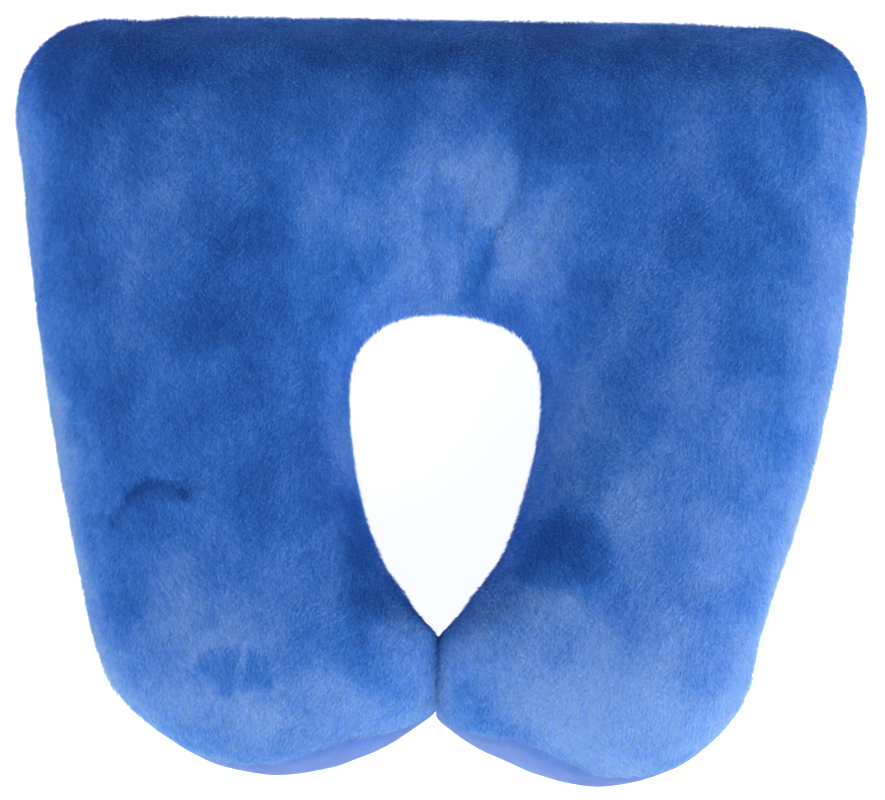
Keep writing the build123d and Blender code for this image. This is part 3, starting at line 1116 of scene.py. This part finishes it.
# painted sheen on the flanks: how much lighter their tone is made
PAINTED_FLANK_SHEEN = 0.5
PILE_ALLOWANCE = 1.6
CONTACT_SQUEEZE = 1.6
BASE_TOE_ROUNDER, LEFT_TOE_FULLER = 3.5, 2.6
CORNER_FULLER = 5.0
# how far the neck hole's wall is pushed out from the even arch: direction and width in degrees, distance
HOLE_BULGES = ((90, 50, -7.0), (42, 26, 1.5), (140, 26, 0.5), (-8, 50, 2.0), (172, 40, -0.5))
# patches of lighter and darker pile, some from pile brushed the other way, some painted light and shade (the
# darker top edge of the back, the darker crease on the left arm): place, size across and along, and change of
# tone
NAP_AND_PAINTED_LIGHT_PATCHES = (
    (47, -78, 21, 20, -0.50),
    (-30, -75, 12, 42, -0.34),
    (-89, -128, 9, 7, -0.34),
    (-72, -130, 8, 8, -0.34),
    (12, 47, 7, 14, -0.30),
    (-128, -84, 30, 13, 0.16),
    (-118, -55, 16, 7, -0.20),
    (4, 62, 62, 32, 0.30),
    (84, 2, 34, 60, 0.10),
    (118, -128, 40, 30, 0.22),
    (60, -140, 34, 16, 0.16),
    (-84, 30, 30, 44, -0.12),
    (-138, 122, 44, 26, -0.16),
    (-30, 136, 60, 18, -0.10),
    (96, 138, 60, 16, -0.12),
    (0, 92, 22, 26, 0.12),
    (-85, 35, 55, 60, 0.10),
    (36, 96, 10, 34, -0.12),
    (-150, 20, 16, 60, 0.06),
    (150, 40, 14, 70, 0.10),
    (-120, -120, 30, 24, 0.08),
    (-46, -140, 26, 14, 0.12),
)


def lopsided(points):
    """The stuffing isn't even: full corners, uneven flanks and tips, and a neck hole with two shoulders."""
    x, y, z = points.T
    side = np.sign(x)
    y_new = y + smooth(-70, -160, y) * np.where(x < 0, LEFT_TIP_SHORTER, RIGHT_TIP_SHORTER)
    left = 4.3 + 2.7 * smooth(100, 0, y) + 2.4 * smooth(-45, -95, y) - 3.4 * smooth(-128, -155, y)
    right = 1.0 + 2.8 * smooth(100, 0, y) - 7.0 * smooth(0, -120, y) + 3.7 * smooth(-98, -135, y)
    flank = np.where(x < 0, left, right) * smooth(40, 150, abs(x))
    inner = INNER_WALL_OUT * smooth(0, -84, y) * (1 - smooth(-91, -115, y)) * (1 - smooth(10, 75, abs(x)))
    corner = CORNER_FULLER * bell(np.hypot(abs(x) - 165, y - 150), 36)
    touching = smooth(-101, -115, y) * (1 - smooth(2, 40, abs(x)))
    across = abs(x) + flank + inner + 0.7 * corner - CONTACT_SQUEEZE * touching
    x_new = side * np.maximum(across, np.minimum(abs(x), TOUCHING_HALF_GAP))
    x_new -= CONTACT_SHIFT * smooth(-60, -120, y) * bell(x, 70)
    y_new += BASE_TOE_ROUNDER * (1 - smooth(0, 22, abs(x))) * smooth(-108, -136, y) * (1 - smooth(40, 66, z))
    y_new -= LEFT_TOE_FULLER * bell(x + 30, 18) * smooth(-105, -145, y)
    dx, dy = x, y - NECK_Y
    r = np.maximum(np.hypot(dx, dy), 1.0)
    angle = np.degrees(np.arctan2(dy, dx))
    push = sum(far * bell((angle - at + 180) % 360 - 180, width) for at, width, far in HOLE_BULGES)
    near_hole = 1 - smooth(NECK_RADIUS + 2, NECK_RADIUS + 48, r)
    below = np.clip(EQUATOR_Z + 4 - z, 0, 40)
    undercut = 0.36 * below * smooth(-15, 35, angle) * (1 - smooth(145, 195, angle))
    push = ((push + undercut) * smooth(-60, -5, y) + PILE_ALLOWANCE * smooth(-100, -80, y)) * near_hole
    return np.c_[x_new + push * dx / r, y_new + 0.7 * corner + push * dy / r, z]


def tone_of(points, normals):
    """How light the plush looks at each point, from 0 to 1: mottling and patches, with painted light and
    shade as well.
    """
    x, y, z = points.T
    stretched = points * (1, 0.75, 1)
    # painted light and shade: lighter towards the front and the tips, darker along the top edge of the back,
    # a little lighter towards the right
    tone = 0.34 + 0.24 * smooth(40, -150, y) - 0.08 * smooth(100, 158, y) + 0.10 * smooth(-60, 130, x)
    tone += 0.20 * np.tanh(2.2 * noise_at(stretched, 46, 11)) * (0.6 + 0.4 * smooth(120, -60, y))
    tone += 0.13 * np.tanh(2.5 * noise_at(stretched, 19, 12)) + 0.07 * noise_at(stretched, 7.5, 13)
    wander_x = 7 * noise_at(points, 16, 14) + 3 * noise_at(points, 6, 15)
    wander_y = 7 * noise_at(points, 16, 16) + 3 * noise_at(points, 6, 17)
    # patches of nap, and of painted light and shade, from the list of patches
    for at_x, at_y, wide, deep, change in NAP_AND_PAINTED_LIGHT_PATCHES:
        far = np.hypot((x - at_x + wander_x) / wide, (y - at_y + wander_y) / deep)
        tone += change * (1 - smooth(0.55, 1.25, far)) * smooth(30, 60, z)
    # painted sheen: the steep flanks are made lighter
    sheen_painted_on_flank = (1 - smooth(0.1, 0.75, normals[:, 2])) * smooth(105, 135, abs(x)) * smooth(150, 110, y)
    tone += PAINTED_FLANK_SHEEN * sheen_painted_on_flank
    return np.clip(tone, 0, 1)


def nap_of(points, normals):
    """The way the pile lies: towards the tips, wandering from place to place, along the surface."""
    angle = 0.75 * noise_at(points, 55, 21) + 0.45 * noise_at(points, 20, 22) + 0.25 * noise_at(points, 8, 23)
    comb = np.c_[np.sin(angle), -np.cos(angle), np.zeros(len(points))]
    comb[:, 2] = -0.35 * (1 - smooth(20, 80, points[:, 2]))
    comb -= (comb * normals).sum(1)[:, None] * normals
    return comb / np.maximum(np.linalg.norm(comb, axis=1), 0.2)[:, None]


cushion = blank_cushion()
applied(cushion, "REMESH", mode="VOXEL", voxel_size=VOXEL * MM, use_smooth_shade=True)
inflate(cushion)
set_points(cushion.data, settled(closed_arms(points_of(cushion.data))))
applied(cushion, "SMOOTH", factor=0.5, iterations=3)
under = cushion.copy()
under.data = cushion.data.copy()
bpy.context.scene.collection.objects.link(under)
applied(cushion, "SUBSURF", levels=2, render_levels=2)
displaced(cushion.data, surface_depth(points_of(cushion.data)))
displaced(cushion.data, seam_depth(points_of(cushion.data), normals_of(cushion.data)))
cut_whole(cushion)

# ---------------------------------------------------------------- cover panels
points, top_faces, base_faces = panel_faces(cushion)
top_normals, base_normals = vertex_normals(points, top_faces), vertex_normals(points, base_faces)
halves = {side: [side_faces(points, faces, side) for faces in (top_faces, base_faces)] for side, _ in SIDES}
points = lopsided(points)
tone, nap = tone_of(points, top_normals), nap_of(points, top_normals)
plush_panels, jersey_panels = [], []
for side, side_name in SIDES:
    top_half, base_half = halves[side]
    top = shell(f"plush_panel_{side_name}", points, top_normals, top_half, COVER_T, tone, nap)
    bend(top)
    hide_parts(*nodes_of("plush_panel", side_name))
    plush_panels.append(top)
    base = shell(f"base_panel_{side_name}", points, base_normals, base_half, JERSEY_T, tone, nap)
    bend(base)
    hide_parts(*nodes_of("base_panel", side_name))
    jersey_panels.append(base)
bpy.data.objects.remove(cushion)

# ---------------------------------------------------------------- inner case and fill, under the cover
displaced(under.data, surface_depth(points_of(under.data)))
applied(under, "SUBSURF", levels=1, render_levels=1)
cut_at_middle(under)
core, core_faces = points_of(under.data), [tuple(p.vertices) for p in under.data.polygons]
core_normals = vertex_normals(core, core_faces)
core_halves = {side: side_faces(core, core_faces, side) for side, _ in SIDES}
core = lopsided(core)
cases, fills = [], []
for side, side_name in SIDES:
    half = core_halves[side]
    case = shell(f"inner_case_{side_name}", core - CASE_DEPTH * core_normals, core_normals, half, CASE_T)
    bend(case)
    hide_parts(*nodes_of("inner_case", side_name))
    cases.append(case)
    fill = capped_half(f"fill_{side_name}", core - FILL_DEPTH * core_normals, half)
    bend(fill)
    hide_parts(*nodes_of("fill", side_name))
    fills.append(fill)
bpy.data.objects.remove(under)

# ---------------------------------------------------------------- zip, stitches and label in the back seam
surface_y = ray_from_behind(plush_panels + jersey_panels)
tapes = [zip_tape("zip_tape_top", 1), zip_tape("zip_tape_bottom", -1)]
coils = [zip_coil("zip_coil_top", 1), zip_coil("zip_coil_bottom", -1)]
zip_nodes = ("zip_tape_upper", "zip_tape_lower", "zip_coil_upper", "zip_coil_lower")
for piece, node in zip(tapes + coils, zip_nodes):
    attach(piece, "back")
    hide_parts(node)
stitches = zip_stitches(surface_y)
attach(stitches, "back")
label = care_label(surface_y)
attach(label, "back")
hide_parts("care_label")

# ---------------------------------------------------------------- finishes
jersey, plush = jersey_look(), plush_look()
strand = strand_look()
pile = pile_nodes(strand)
for o in plush_panels:
    dress(o, plush)
    grow_pile(o, pile, strand)
for o in jersey_panels:
    dress(o, jersey)
lining = woven_look("white_lining", (0.66, 0.67, 0.70), (0.86, 0.86, 0.86), 0.4, 0.8)
for o in cases:
    dress(o, lining)
fibre = fibre_look()
for o in fills:
    dress(o, fibre)
tape, nylon, metal, satin = tape_look(), nylon_look(), metal_look(), satin_look()
for o in tapes:
    dress(o, tape)
for o in coils:
    dress(o, nylon)
dress(stitches, thread_look())
dress(label, satin)
for node in ("zip_top_stops", "zip_bottom_stop", "zip_slider", "zip_pull"):
    dress(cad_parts[node], metal)

# ---------------------------------------------------------------- floor, light and camera
def floor_look():
    """Very pale floor that glows a little, so that it stays near white."""
    look = Look("floor", Roughness=0.9, Emission_Color=(1, 1, 1, 1), Emission_Strength=0.92)
    grain = look.noise(look.place(), 40.0, 2.0)
    look.colour(look.ramp(grain, ((0.0, (0.48, 0.48, 0.48)), (1.0, (0.52, 0.52, 0.52)))))
    return look.material


FLOOR_REACH, FLOOR_Z = 3000, -0.6
floor_corners = [(x * FLOOR_REACH, y * FLOOR_REACH, FLOOR_Z) for x, y in ((-1, -1), (1, -1), (1, 1), (-1, 1))]
floor = add_mesh("floor", floor_corners, [(0, 1, 2, 3)])
dress(floor, floor_look())


def area_light(name, place, target, size, power):
    data = bpy.data.lights.new(name, "AREA")
    data.shape, data.size, data.energy = "SQUARE", size, power
    light = bpy.data.objects.new(name, data)
    light.location = place
    light.rotation_euler = (Vector(target) - Vector(place)).to_track_quat("-Z", "Y").to_euler()
    bpy.context.scene.collection.objects.link(light)


area_light("key", (0.5, -1.9, 1.4), (0, 0, 0), 1.0, 40)
area_light("left", (-1.5, 0.2, 0.8), (0, 0, 0), 0.8, 16)
area_light("right", (1.5, 0.2, 0.8), (0, 0, 0), 0.8, 16)
world = bpy.data.worlds.new("studio")
world.use_nodes = True
world.node_tree.nodes["Background"].inputs["Strength"].default_value = 0.55
bpy.context.scene.world = world
bpy.context.scene.view_settings.view_transform = "Standard"

ELEVATION, ROLL, DISTANCE = math.radians(73.0), math.radians(0.9), 2.2
LOOK_AT = Vector((0.0, -0.003, 0.0475))
camera_data = bpy.data.cameras.new("camera")
camera_data.sensor_width = 36.0
camera_data.lens = 217.0
camera = bpy.data.objects.new("camera", camera_data)
back = Vector((0, -math.cos(ELEVATION), math.sin(ELEVATION)))
turned = back.to_track_quat("Z", "Y").to_matrix() @ Matrix.Rotation(ROLL, 3, "Z")
camera.matrix_world = Matrix.Translation(LOOK_AT + DISTANCE * back) @ turned.to_4x4()
bpy.context.scene.collection.objects.link(camera)
bpy.context.scene.camera = camera
